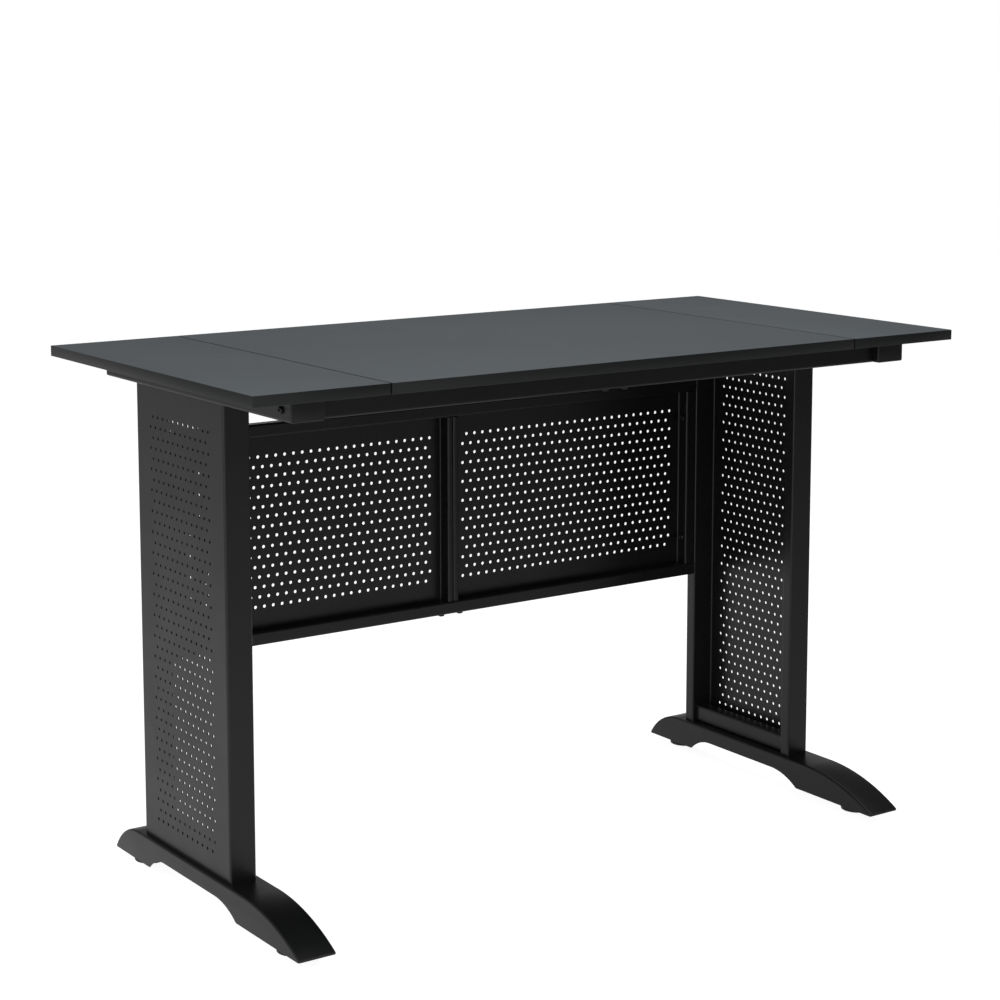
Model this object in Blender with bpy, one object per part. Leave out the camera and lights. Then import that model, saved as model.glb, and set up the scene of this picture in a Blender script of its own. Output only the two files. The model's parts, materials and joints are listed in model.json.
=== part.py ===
# Computer desk: a three-board top on two perforated steel legs with arched feet,
# joined by split rails and a two-part modesty panel, on four levelling glides.
# Units are metres. The origin is on the floor under the middle of the top,
# +X is to the user's right, +Y to the back and +Z up.

import math

import bmesh
import bpy
from mathutils import Vector

# Overall sizes
TOP_LENGTH = 1.200
TOP_DEPTH = 0.600
TOP_HEIGHT = 0.756            # floor to the writing surface
FIT = 0.0003                  # gap between pieces that touch
OVERCUT = 0.003               # how far a drill runs past what it cuts

# Top boards
BOARD_THICKNESS = 0.015
END_BOARD_LENGTH = 0.200
BOARD_SEAM = 0.0014           # gap between two boards
BOARD_EASE = 0.0006           # softened board edges

# Steel tube stock
TUBE_WALL = 0.0015
TUBE_BEND = 0.0015            # inside corner radius
CORNER_STEPS = 3

# Side bars under the ends of the top
SIDE_BAR_WIDTH = 0.050
SIDE_BAR_HEIGHT = 0.030
SIDE_BAR_INSET = 0.0315       # from the top's front or rear edge to the end of the bar
PLUG_FLANGE = 0.002
PLUG_INSERT = 0.012
PLUG_EASE = 0.0006

# Front and rear rails, each in two halves on an inner joiner
RAIL_DEPTH = 0.025
RAIL_HEIGHT = 0.030
RAIL_INSET = 0.0115           # from the end of the side bar to the rail's outer face
RAIL_END_PLATE = 0.005
JOINER_LENGTH = 0.070
JOINER_WALL = 0.002
JOINER_BEND = 0.0005          # inside corner radius
JOINER_BOLT_SPACING = 0.034
JOINER_THREAD = 0.008         # bolt reach past the joiner's wall

# Legs
LEG_SPACING = 1.008           # between the middles of the two legs
LEG_WIDTH = 0.040
LEG_DEPTH = 0.260
LEG_SETBACK = 0.0517          # middle of the leg behind the middle of the top
POST_DEPTH = 0.020
CROSS_TUBE_WIDTH = 0.025
CROSS_TUBE_HEIGHT = 0.027
SHEET_THICKNESS = 0.001
LEG_SHEET_INSET = 0.0004      # sheet behind the outer face of the posts

# Feet
FOOT_WIDTH = 0.057
FOOT_HEIGHT = 0.043
TOE_INSET = 0.023             # toe behind the front edge of the top
HEEL_INSET = 0.035            # heel in front of the rear edge of the top
FOOT_WALL = 0.002
FOOT_FILLET = 0.002
TOE_RADIUS = 0.3065
TOE_EDGE = 0.0032
HEEL_RADIUS = 0.0855
HEEL_EDGE = 0.0025
TOE_PAD = 0.170               # flat under the toe, up to the arch
HEEL_PAD = 0.110
ARCH_HEIGHT = 0.0195
ARCH_TOE_RADIUS = 0.105
ARCH_HEEL_RADIUS = 0.070
ARC_STEPS = 8
FOOT_BOLT_SPACING = 0.120
FOOT_BOLT_THREAD = 0.010      # bolt reach past the tube's wall

# Levelling glides
GLIDE_DIAMETER = 0.048
GLIDE_THICKNESS = 0.007
GLIDE_EDGE = 0.0012
GLIDE_BOSS_DIAMETER = 0.020
GLIDE_STEM_DIAMETER = 0.008
GLIDE_GAP = 0.001             # between the pad and the foot, screwed right in
GLIDE_TRAVEL = 0.012
GLIDE_TOE_INSET = 0.0605      # glide axis behind the toe
GLIDE_HEEL_INSET = 0.058
GLIDE_SIDES = 24
NUT_PLATE_RISE = 0.004        # plate above the bottom of the foot
NUT_PLATE_THICKNESS = 0.003
NUT_PLATE_LENGTH = 0.044
STEM_SPARE = 0.003            # thread still in the plate at full travel

# Modesty panel
MODESTY_DROP = 0.120          # below the writing surface
MODESTY_HEIGHT = 0.330
MODESTY_TUBE = 0.020
CENTRE_STILE_WIDTH = 0.010
MODESTY_LAP = 0.008           # sheet over the back of its frame
SIDE_BOLT_SPACING = 0.202
SIDE_BOLT_THREAD = 0.008      # bolt reach past the post's wall

# Button-head bolts
BOLT_DIAMETER = 0.006
BOLT_HEAD_DIAMETER = 0.0105
BOLT_HEAD_HEIGHT = 0.0033
BOLT_HEAD_RIM = 0.001         # straight edge under the crown
BOLT_FLAT_DIAMETER = 0.0056   # flat top of the crown
BOLT_SOCKET = 0.004
BOLT_SOCKET_DEPTH = 0.0018
BOLT_SIDES = 12
RAIL_BOLT_THREAD = 0.008      # bolt reach past the rail's end plate

# Levels and places worked out from the sizes above
TUBE_CORNER = TUBE_WALL + TUBE_BEND
FOOT_BOTTOM = GLIDE_THICKNESS + GLIDE_GAP
FOOT_TOP = FOOT_BOTTOM + FOOT_HEIGHT
FRAME_TOP = TOP_HEIGHT - BOARD_THICKNESS - FIT
BAR_BOTTOM = FRAME_TOP - SIDE_BAR_HEIGHT
SIDE_BAR_LENGTH = TOP_DEPTH - 2 * SIDE_BAR_INSET
FOOT_FRONT = TOP_DEPTH / 2 - TOE_INSET
FOOT_REAR = TOP_DEPTH / 2 - HEEL_INSET
RAIL_BOTTOM = FRAME_TOP - RAIL_HEIGHT
LEG_X = LEG_SPACING / 2
LEG_INNER_X = LEG_X - LEG_WIDTH / 2
LEG_OUTER_X = LEG_X + LEG_WIDTH / 2
LEG_FRONT_Y = LEG_SETBACK - LEG_DEPTH / 2
LEG_REAR_Y = LEG_SETBACK + LEG_DEPTH / 2
RAIL_Y = SIDE_BAR_LENGTH / 2 - RAIL_INSET - RAIL_DEPTH / 2
RAIL_END_X = LEG_X - SIDE_BAR_WIDTH / 2 - FIT
SHEET_OUTER_X = LEG_OUTER_X - LEG_SHEET_INSET
MODESTY_TOP = TOP_HEIGHT - MODESTY_DROP
MODESTY_BOTTOM = MODESTY_TOP - MODESTY_HEIGHT
MODESTY_Y = LEG_REAR_Y - MODESTY_TUBE / 2
MODESTY_END_X = LEG_INNER_X - FIT
GLIDE_TOE_Y = GLIDE_TOE_INSET - FOOT_FRONT
GLIDE_HEEL_Y = FOOT_REAR - GLIDE_HEEL_INSET
NUT_PLATE_BOTTOM = FOOT_BOTTOM + NUT_PLATE_RISE

SIDES = {"left": -1, "right": 1}
ENDS = {"front": -1, "rear": 1}
ALONG_X = (0, math.radians(90), 0)
ALONG_Y = (math.radians(-90), 0, 0)
ALONG_Z = (0, 0, 0)
SMOOTH_ANGLE = math.radians(35)

# Finish: colour, roughness, metallic
FINISHES = {
    "laminate": ((0.085, 0.092, 0.096, 1), 0.55, 0.0),
    "powder_coat": ((0.020, 0.021, 0.021, 1), 0.42, 0.0),
    "black_bolt": ((0.012, 0.012, 0.013, 1), 0.35, 0.6),
    "black_plastic": ((0.015, 0.015, 0.016, 1), 0.50, 0.0),
}


def clear_scene():
    for item in list(bpy.data.objects):
        bpy.data.objects.remove(item, do_unlink=True)


def make_material(name, finish):
    colour, roughness, metallic = FINISHES[finish]
    material = bpy.data.materials.new(name + "_" + finish)
    material.use_nodes = True
    shader = material.node_tree.nodes["Principled BSDF"]
    shader.inputs["Base Color"].default_value = colour
    shader.inputs["Roughness"].default_value = roughness
    shader.inputs["Metallic"].default_value = metallic
    return material


def add_object(name, bm, finish=None, location=(0, 0, 0), rotation=ALONG_Z):
    bmesh.ops.recalc_face_normals(bm, faces=bm.faces)
    mesh = bpy.data.meshes.new(name)
    bm.to_mesh(mesh)
    bm.free()
    mesh.shade_smooth()
    mesh.set_sharp_from_angle(angle=SMOOTH_ANGLE)
    obj = bpy.data.objects.new(name, mesh)
    obj.location = location
    obj.rotation_euler = rotation
    bpy.context.scene.collection.objects.link(obj)
    if finish:
        mesh.materials.append(make_material(name, finish))
    return obj


def combine(target, tool, operation):
    # Joins a tool shape to the target, or cuts it out, and removes the tool
    modifier = target.modifiers.new(operation.lower(), "BOOLEAN")
    modifier.operation = operation
    modifier.object = tool
    bpy.context.view_layer.update()
    graph = bpy.context.evaluated_depsgraph_get()
    shaped = bpy.data.meshes.new_from_object(target.evaluated_get(graph))
    target.modifiers.remove(modifier)
    plain = target.data
    target.data = shaped
    bpy.data.meshes.remove(plain)
    bpy.data.objects.remove(tool, do_unlink=True)


# Shapes

def loft(loops, closed=False):
    # Skins a row of loops of equal length, with end caps or back to the first loop
    bm = bmesh.new()
    rings = [[bm.verts.new(point) for point in loop] for loop in loops]
    pairs = list(zip(rings, rings[1:]))
    if closed:
        pairs.append((rings[-1], rings[0]))
    for lower, upper in pairs:
        for index in range(len(lower)):
            after = (index + 1) % len(lower)
            bm.faces.new((lower[index], lower[after], upper[after], upper[index]))
    if not closed:
        caps = [bm.faces.new(rings[0]), bm.faces.new(rings[-1])]
        bmesh.ops.triangulate(bm, faces=caps)
    return bm


def rounded_rectangle(width, height, radius, level):
    points = []
    for corner, (across, up) in enumerate(((1, 1), (-1, 1), (-1, -1), (1, -1))):
        for step in range(CORNER_STEPS + 1):
            angle = math.radians(90 * (corner + step / CORNER_STEPS))
            x = across * (width / 2 - radius) + radius * math.cos(angle)
            y = up * (height / 2 - radius) + radius * math.sin(angle)
            points.append((x, y, level))
    return points


def circle(radius, level, sides):
    angles = [math.tau * side / sides for side in range(sides)]
    return [(radius * math.cos(angle), radius * math.sin(angle), level) for angle in angles]


def hexagon(across_flats, level):
    # Hexagon with as many points as a bolt's circles
    sector = math.radians(60)
    points = []
    for side in range(BOLT_SIDES):
        angle = math.tau * side / BOLT_SIDES
        from_flat = (angle + sector / 2) % sector - sector / 2
        reach = across_flats / 2 / math.cos(from_flat)
        points.append((reach * math.cos(angle), reach * math.sin(angle), level))
    return points


def block(size):
    bm = bmesh.new()
    bmesh.ops.create_cube(bm, size=1)
    bmesh.ops.scale(bm, vec=size, verts=bm.verts)
    return bm


def tube(width, height, length, wall=TUBE_WALL, bend=TUBE_BEND, end_plate=0):
    # Hollow tube along its own Z; end_plate closes the upper end with that thickness
    half = length / 2
    outer = (width, height, bend + wall)
    inner = (width - 2 * wall, height - 2 * wall, bend)
    outer_loops = [rounded_rectangle(*outer, level) for level in (half, -half)]
    inner_loops = [rounded_rectangle(*inner, level) for level in (-half, half - end_plate)]
    return loft(outer_loops + inner_loops, closed=not end_plate)


def drill(target, centre, direction, length, diameter):
    # Cuts a round hole, whose middle is at centre, through the target
    bm = loft([circle(diameter / 2, level, BOLT_SIDES) for level in (-length / 2, length / 2)])
    turn = Vector(direction).to_track_quat("Z", "Y").to_euler()
    cutter = add_object(target.name + "_drill", bm, location=centre, rotation=turn)
    combine(target, cutter, "DIFFERENCE")


def bolt_hole(target, centre, direction, thickness):
    # Clearance hole through a thickness on either side of its centre
    drill(target, centre, direction, 2 * (thickness + OVERCUT), BOLT_DIAMETER + 2 * FIT)


def bolt(name, seat, head_direction, length):
    # Button-head socket bolt: the head stands off the seat, the shank goes into it
    shank = BOLT_DIAMETER / 2
    rim = BOLT_HEAD_DIAMETER / 2
    flat = BOLT_FLAT_DIAMETER / 2
    profile = [(shank, -length), (shank, 0), (rim, 0)]
    for angle in (0, 45, 90):
        across = math.cos(math.radians(angle))
        up = math.sin(math.radians(angle))
        level = BOLT_HEAD_RIM + (BOLT_HEAD_HEIGHT - BOLT_HEAD_RIM) * up
        profile.append((flat + (rim - flat) * across, level))
    loops = [circle(radius, level, BOLT_SIDES) for radius, level in profile]
    loops.append(hexagon(BOLT_SOCKET, BOLT_HEAD_HEIGHT))
    loops.append(hexagon(BOLT_SOCKET, BOLT_HEAD_HEIGHT - BOLT_SOCKET_DEPTH))
    turn = Vector(head_direction).to_track_quat("Z", "Y").to_euler()
    place = Vector(seat) + Vector(head_direction) * FIT
    return add_object(name, loft(loops), "black_bolt", place, turn)


# Top

def board(name, middle_x, length):
    bm = block((length, TOP_DEPTH, BOARD_THICKNESS))
    bmesh.ops.bevel(bm, geom=bm.edges[:], offset=BOARD_EASE, segments=1, affect="EDGES")
    add_object(name, bm, "laminate", (middle_x, 0, TOP_HEIGHT - BOARD_THICKNESS / 2))


def build_top():
    centre_length = TOP_LENGTH - 2 * END_BOARD_LENGTH
    board("top_centre_board", 0, centre_length - BOARD_SEAM)
    for side, sign in SIDES.items():
        length = END_BOARD_LENGTH - BOARD_SEAM / 2
        board("top_" + side + "_board", sign * (TOP_LENGTH - length) / 2, length)


# Side bars and their end plugs

def plug(name, place, facing):
    insert = (SIDE_BAR_WIDTH - 2 * (TUBE_WALL + FIT), SIDE_BAR_HEIGHT - 2 * (TUBE_WALL + FIT))
    face = (SIDE_BAR_WIDTH - 2 * PLUG_EASE, SIDE_BAR_HEIGHT - 2 * PLUG_EASE)
    loops = [
        rounded_rectangle(*insert, TUBE_BEND, -PLUG_FLANGE - PLUG_INSERT),
        rounded_rectangle(*insert, TUBE_BEND, -PLUG_FLANGE),
        rounded_rectangle(SIDE_BAR_WIDTH, SIDE_BAR_HEIGHT, TUBE_CORNER, -PLUG_FLANGE),
        rounded_rectangle(SIDE_BAR_WIDTH, SIDE_BAR_HEIGHT, TUBE_CORNER, -PLUG_EASE),
        rounded_rectangle(*face, TUBE_CORNER - PLUG_EASE, 0),
    ]
    turn = (math.radians(-90 * facing), 0, 0)
    add_object(name, loft(loops), "black_plastic", place, turn)


def build_side_bar(side, sign):
    level = FRAME_TOP - SIDE_BAR_HEIGHT / 2
    length = SIDE_BAR_LENGTH - 2 * (PLUG_FLANGE + FIT)
    bm = tube(SIDE_BAR_WIDTH, SIDE_BAR_HEIGHT, length)
    bar = add_object(side + "_side_bar", bm, "powder_coat", (sign * LEG_X, 0, level), ALONG_Y)
    outer_x = LEG_X + SIDE_BAR_WIDTH / 2
    bolt_level = RAIL_BOTTOM + RAIL_HEIGHT / 2
    bolt_length = SIDE_BAR_WIDTH + 2 * FIT + RAIL_END_PLATE + RAIL_BOLT_THREAD
    for end, way in ENDS.items():
        plug(side + "_" + end + "_bar_plug", (sign * LEG_X, way * SIDE_BAR_LENGTH / 2, level), way)
        bolt_hole(bar, (sign * LEG_X, way * RAIL_Y, bolt_level), (1, 0, 0), SIDE_BAR_WIDTH / 2)
        seat = (sign * outer_x, way * RAIL_Y, bolt_level)
        bolt(side + "_" + end + "_rail_bolt", seat, (sign, 0, 0), bolt_length)


# Rails

def split_joint(name, place, inner_width, inner_height, halves):
    # Inner sleeve that joins two tube halves, with one bolt up into each half
    x, y, bottom = place
    width = inner_width - 2 * FIT
    height = inner_height - 2 * FIT
    level = bottom + TUBE_WALL + FIT + height / 2
    bm = tube(height, width, JOINER_LENGTH, JOINER_WALL, JOINER_BEND)
    sleeve = add_object(name, bm, "powder_coat", (x, y, level), ALONG_X)
    thickness = TUBE_WALL + FIT + JOINER_WALL
    for side, sign in SIDES.items():
        spot = (x + sign * JOINER_BOLT_SPACING / 2, y, bottom)
        bolt_hole(halves[side], spot, (0, 0, 1), thickness)
        bolt_hole(sleeve, spot, (0, 0, 1), thickness)
        bolt(name + "_bolt_" + side, spot, (0, 0, -1), thickness + FIT + JOINER_THREAD)


def build_rail(end, way):
    length = RAIL_END_X - FIT / 2
    level = RAIL_BOTTOM + RAIL_HEIGHT / 2
    halves = {}
    for side, sign in SIDES.items():
        bm = tube(RAIL_HEIGHT, RAIL_DEPTH, length, end_plate=RAIL_END_PLATE)
        turn = (0, math.radians(90 * sign), 0)
        middle = (sign * (RAIL_END_X + FIT / 2) / 2, way * RAIL_Y, level)
        half = add_object(end + "_rail_" + side, bm, "powder_coat", middle, turn)
        plate_x = sign * (RAIL_END_X - RAIL_END_PLATE / 2)
        bolt_hole(half, (plate_x, way * RAIL_Y, level), (1, 0, 0), RAIL_END_PLATE / 2)
        halves[side] = half
    inner_depth = RAIL_DEPTH - 2 * TUBE_WALL
    inner_height = RAIL_HEIGHT - 2 * TUBE_WALL
    place = (0, way * RAIL_Y, RAIL_BOTTOM)
    split_joint(end + "_rail_joiner", place, inner_depth, inner_height, halves)


# Legs

def build_leg(side, sign):
    x = sign * LEG_X
    height = BAR_BOTTOM - FOOT_TOP - 2 * FIT
    level = FOOT_TOP + FIT + height / 2
    posts = {"front": LEG_FRONT_Y + POST_DEPTH / 2, "rear": LEG_REAR_Y - POST_DEPTH / 2}
    for end, y in posts.items():
        bm = tube(LEG_WIDTH, POST_DEPTH, height)
        post = add_object(side + "_" + end + "_post", bm, "powder_coat", (x, y, level))
        if end == "rear":
            for spot in side_bolt_spots():
                bolt_hole(post, (sign * LEG_INNER_X, *spot), (1, 0, 0), TUBE_WALL)

    between = LEG_DEPTH - 2 * POST_DEPTH - 2 * FIT
    tube_levels = {"bottom": FOOT_TOP + FIT + CROSS_TUBE_HEIGHT / 2,
                   "top": BAR_BOTTOM - FIT - CROSS_TUBE_HEIGHT / 2}
    for end, tube_level in tube_levels.items():
        bm = tube(CROSS_TUBE_WIDTH, CROSS_TUBE_HEIGHT, between)
        place = (x, LEG_SETBACK, tube_level)
        cross = add_object(side + "_leg_" + end + "_tube", bm, "powder_coat", place, ALONG_Y)
        if end == "bottom":
            for y in foot_bolt_rows().values():
                spot = (x, y, FOOT_TOP)
                bolt_hole(cross, spot, (0, 0, 1), TUBE_WALL)

    sheet_x = sign * (SHEET_OUTER_X - SHEET_THICKNESS / 2)
    bm = block((SHEET_THICKNESS, between, height))
    add_object(side + "_leg_panel", bm, "powder_coat", (sheet_x, LEG_SETBACK, level))


# Feet and glides

def arc(middle_y, middle_z, radius, from_y, to_y, upward):
    # Points of a round stretch between two places along the foot
    start = math.asin((from_y - middle_y) / radius)
    stop = math.asin((to_y - middle_y) / radius)
    points = []
    for step in range(ARC_STEPS + 1):
        angle = start + (stop - start) * step / ARC_STEPS
        rise = upward * radius * math.cos(angle)
        points.append((middle_y + radius * math.sin(angle), middle_z + rise))
    return points


def run_of_arc(radius, drop):
    # Level length in which a round stretch, flat at one end, falls by drop
    return math.sqrt(2 * radius * drop - drop ** 2)


def foot_upper(inset):
    # Upper outline from heel to toe, drawn in by inset; Z counts from the foot's bottom
    heel_start = FOOT_REAR - run_of_arc(HEEL_RADIUS, FOOT_HEIGHT - HEEL_EDGE)
    toe_start = run_of_arc(TOE_RADIUS, FOOT_HEIGHT - TOE_EDGE) - FOOT_FRONT
    heel = arc(heel_start, FOOT_HEIGHT - HEEL_RADIUS, HEEL_RADIUS - inset,
               FOOT_REAR - inset, heel_start, 1)
    toe = arc(toe_start, FOOT_HEIGHT - TOE_RADIUS, TOE_RADIUS - inset,
              toe_start, inset - FOOT_FRONT, 1)
    return heel + toe


def foot_lower(inset):
    # Underside from toe to heel: toe pad, arch and heel pad
    toe_foot = TOE_PAD - FOOT_FRONT
    heel_foot = FOOT_REAR - HEEL_PAD
    toe_top = toe_foot + run_of_arc(ARCH_TOE_RADIUS, ARCH_HEIGHT)
    heel_top = heel_foot - run_of_arc(ARCH_HEEL_RADIUS, ARCH_HEIGHT)
    toe_side = arc(toe_top, ARCH_HEIGHT - ARCH_TOE_RADIUS, ARCH_TOE_RADIUS, toe_foot, toe_top, 1)
    heel_side = arc(heel_top, ARCH_HEIGHT - ARCH_HEEL_RADIUS, ARCH_HEEL_RADIUS, heel_top, heel_foot, 1)
    return [(inset - FOOT_FRONT, 0)] + toe_side + heel_side + [(FOOT_REAR - inset, 0)]


def foot_loop(x, inset):
    return [(x, y, z) for y, z in foot_upper(inset) + foot_lower(inset)]


def glide_rows():
    return {"front": GLIDE_TOE_Y, "rear": GLIDE_HEEL_Y}


def foot_bolt_rows():
    half = FOOT_BOLT_SPACING / 2
    return {"front": LEG_SETBACK - half, "rear": LEG_SETBACK + half}


def foot_shell(name, place):
    # Pressed channel, open below, with rounded upper edges
    half = FOOT_WIDTH / 2
    rounding = [math.radians(angle) for angle in (0, 45, 90)]
    right = []
    for angle in rounding:
        side_step = FOOT_FILLET * (1 - math.cos(angle))
        edge_step = FOOT_FILLET * (1 - math.sin(angle))
        right.append((half - side_step, edge_step))
    left = [(-x, inset) for x, inset in right]
    loops = [foot_loop(x, inset) for x, inset in left + right[::-1]]
    foot = add_object(name, loft(loops), "powder_coat", place)

    below = -FOOT_HEIGHT
    upper = foot_upper(FOOT_WALL)
    outline = upper + [(upper[-1][0], below), (upper[0][0], below)]
    inner = half - FOOT_WALL
    hollow = loft([[(x, y, z) for y, z in outline] for x in (-inner, inner)])
    cutter = add_object(name + "_hollow", hollow, location=place)
    combine(foot, cutter, "DIFFERENCE")
    return foot


def build_foot(side, sign):
    x = sign * LEG_X
    foot = foot_shell(side + "_foot", (x, 0, FOOT_BOTTOM))
    plate_width = FOOT_WIDTH - FOOT_WALL
    for end, y in glide_rows().items():
        bm = block((plate_width, NUT_PLATE_LENGTH, NUT_PLATE_THICKNESS))
        middle = (x, y, NUT_PLATE_BOTTOM + NUT_PLATE_THICKNESS / 2)
        combine(foot, add_object(foot.name + "_nut_plate", bm, location=middle), "UNION")
        depth = NUT_PLATE_THICKNESS + 2 * OVERCUT
        drill(foot, middle, (0, 0, 1), depth, GLIDE_STEM_DIAMETER + 2 * FIT)
        glide(side + "_" + end + "_glide", (x, y, 0))
    length = FOOT_WALL + 2 * FIT + TUBE_WALL + FOOT_BOLT_THREAD
    for end, y in foot_bolt_rows().items():
        spot = (x, y, FOOT_TOP - FOOT_WALL)
        bolt_hole(foot, spot, (0, 0, 1), FOOT_WALL)
        bolt(side + "_" + end + "_foot_bolt", spot, (0, 0, -1), length)


def glide(name, place):
    # Levelling glide: pad, boss that stops against the nut plate, and threaded stem
    pad = GLIDE_DIAMETER / 2
    boss = GLIDE_BOSS_DIAMETER / 2
    stem = GLIDE_STEM_DIAMETER / 2
    boss_top = NUT_PLATE_BOTTOM - FIT
    stem_top = NUT_PLATE_BOTTOM + NUT_PLATE_THICKNESS + GLIDE_TRAVEL + STEM_SPARE
    profile = [
        (pad - GLIDE_EDGE, 0),
        (pad, GLIDE_EDGE),
        (pad, GLIDE_THICKNESS - GLIDE_EDGE),
        (pad - GLIDE_EDGE, GLIDE_THICKNESS),
        (boss, GLIDE_THICKNESS),
        (boss, boss_top),
        (stem, boss_top),
        (stem, stem_top),
    ]
    loops = [circle(radius, level, GLIDE_SIDES) for radius, level in profile]
    add_object(name, loft(loops), "black_plastic", place)


# Modesty panel

def side_bolt_spots():
    # Y and Z of the bolts that hold an end stile to its rear post
    middle = MODESTY_BOTTOM + MODESTY_HEIGHT / 2
    return [(MODESTY_Y, middle + way * SIDE_BOLT_SPACING / 2) for way in (1, -1)]


def build_modesty_half(side, sign):
    start = FIT / 2
    length = MODESTY_END_X - start
    middle_x = sign * (start + length / 2)
    levels = {"top": MODESTY_TOP - MODESTY_TUBE / 2, "bottom": MODESTY_BOTTOM + MODESTY_TUBE / 2}
    name = "modesty_" + side
    for row, level in levels.items():
        bm = tube(MODESTY_TUBE, MODESTY_TUBE, length)
        rail = add_object(name + "_" + row + "_rail", bm, "powder_coat",
                          (middle_x, MODESTY_Y, level), ALONG_X)

    stile_height = MODESTY_HEIGHT - 2 * MODESTY_TUBE - 2 * FIT
    stile_level = MODESTY_BOTTOM + MODESTY_HEIGHT / 2
    stiles = {
        "end": (MODESTY_TUBE, MODESTY_END_X - MODESTY_TUBE / 2),
        "centre": (CENTRE_STILE_WIDTH, start + CENTRE_STILE_WIDTH / 2),
    }
    for row, (width, x) in stiles.items():
        bm = tube(width, MODESTY_TUBE, stile_height)
        place = (sign * x, MODESTY_Y, stile_level)
        stile = add_object(name + "_" + row + "_stile", bm, "powder_coat", place)
        if row == "end":
            bolt_end_stile(name, sign, stile)

    opening_start = start + CENTRE_STILE_WIDTH
    opening_end = MODESTY_END_X - MODESTY_TUBE
    sheet_length = opening_end - opening_start + 2 * MODESTY_LAP
    sheet_height = stile_height + 2 * MODESTY_LAP
    sheet_y = LEG_REAR_Y + FIT + SHEET_THICKNESS / 2
    bm = block((sheet_length, SHEET_THICKNESS, sheet_height))
    sheet_x = sign * (opening_start + opening_end) / 2
    add_object(name + "_panel", bm, "powder_coat", (sheet_x, sheet_y, stile_level))
    return rail


def bolt_end_stile(name, sign, stile):
    inner_x = MODESTY_END_X - MODESTY_TUBE
    length = MODESTY_TUBE + 2 * FIT + TUBE_WALL + SIDE_BOLT_THREAD
    for row, spot in zip(("upper", "lower"), side_bolt_spots()):
        middle = (stile.location.x, *spot)
        bolt_hole(stile, middle, (1, 0, 0), MODESTY_TUBE / 2)
        bolt(name + "_" + row + "_bolt", (sign * inner_x, *spot), (-sign, 0, 0), length)


def build_modesty():
    lower_rails = {side: build_modesty_half(side, sign) for side, sign in SIDES.items()}
    inner = MODESTY_TUBE - 2 * TUBE_WALL
    split_joint("modesty_joiner", (0, MODESTY_Y, MODESTY_BOTTOM), inner, inner, lower_rails)


def build_desk():
    clear_scene()
    build_top()
    for side, sign in SIDES.items():
        build_side_bar(side, sign)
        build_leg(side, sign)
        build_foot(side, sign)
    for end, way in ENDS.items():
        build_rail(end, way)
    build_modesty()


build_desk()
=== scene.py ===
import json
import math

import bmesh
import bpy
from mathutils import Matrix, Vector

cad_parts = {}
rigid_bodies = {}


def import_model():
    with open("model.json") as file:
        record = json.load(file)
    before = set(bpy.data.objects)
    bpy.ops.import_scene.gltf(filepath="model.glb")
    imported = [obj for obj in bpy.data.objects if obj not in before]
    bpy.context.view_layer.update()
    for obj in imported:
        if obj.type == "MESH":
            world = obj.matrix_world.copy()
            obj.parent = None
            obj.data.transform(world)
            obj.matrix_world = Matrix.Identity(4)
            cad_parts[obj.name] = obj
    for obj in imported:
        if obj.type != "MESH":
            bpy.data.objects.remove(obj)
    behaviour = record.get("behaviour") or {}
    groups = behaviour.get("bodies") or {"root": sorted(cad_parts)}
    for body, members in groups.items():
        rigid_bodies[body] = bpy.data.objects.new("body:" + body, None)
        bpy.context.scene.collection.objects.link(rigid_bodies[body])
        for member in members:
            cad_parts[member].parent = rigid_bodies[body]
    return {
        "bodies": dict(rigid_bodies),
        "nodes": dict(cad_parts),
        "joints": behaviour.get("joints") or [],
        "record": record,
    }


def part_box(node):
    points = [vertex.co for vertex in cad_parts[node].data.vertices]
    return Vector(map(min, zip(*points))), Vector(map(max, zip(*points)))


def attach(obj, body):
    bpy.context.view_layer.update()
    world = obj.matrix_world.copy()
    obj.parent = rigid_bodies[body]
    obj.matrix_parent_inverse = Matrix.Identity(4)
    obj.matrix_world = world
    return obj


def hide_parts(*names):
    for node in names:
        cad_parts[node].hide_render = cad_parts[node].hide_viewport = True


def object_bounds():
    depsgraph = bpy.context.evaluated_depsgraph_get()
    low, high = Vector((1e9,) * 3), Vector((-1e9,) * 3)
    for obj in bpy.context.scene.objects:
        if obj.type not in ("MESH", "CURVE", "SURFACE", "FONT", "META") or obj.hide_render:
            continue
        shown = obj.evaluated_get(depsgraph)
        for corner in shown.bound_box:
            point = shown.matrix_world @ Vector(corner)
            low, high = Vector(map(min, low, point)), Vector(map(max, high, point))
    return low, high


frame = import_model()

deskParts = set(frame["nodes"].values()) | set(frame["bodies"].values())
for spare in [item for item in bpy.data.objects if item not in deskParts]:  # what the start-up file brings
    bpy.data.objects.remove(spare, do_unlink=True)
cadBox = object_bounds()

sides = {"left": -1, "right": 1}   # towards -X and +X
ends = {"front": -1, "rear": 1}    # towards -Y and +Y
quarterTurn = math.radians(90)
smoothAngle = math.radians(35)


# helpers for node trees, of shaders and of Geometry Nodes alike

def treeNode(tree, kind, links=None, **settings):
    # links: an input's name or number, with an output socket or a plain value for it
    node = tree.nodes.new(kind)
    for key, value in settings.items():
        setattr(node, key, value)
    for label, value in (links or {}).items():
        socket = node.inputs[label]
        if isinstance(value, bpy.types.NodeSocket):
            tree.links.new(value, socket)
        else:
            socket.default_value = value
    return node


def treeMath(tree, operation, *values):
    return treeNode(tree, "ShaderNodeMath", dict(enumerate(values)), operation=operation).outputs[0]


def spreadNode(tree, value, fromRange, toRange, interpolation="LINEAR"):
    numbers = zip(("From Min", "From Max", "To Min", "To Max"), (*fromRange, *toRange))
    links = {"Value": value, **dict(numbers)}
    return treeNode(tree, "ShaderNodeMapRange", links, interpolation_type=interpolation).outputs["Result"]


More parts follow.
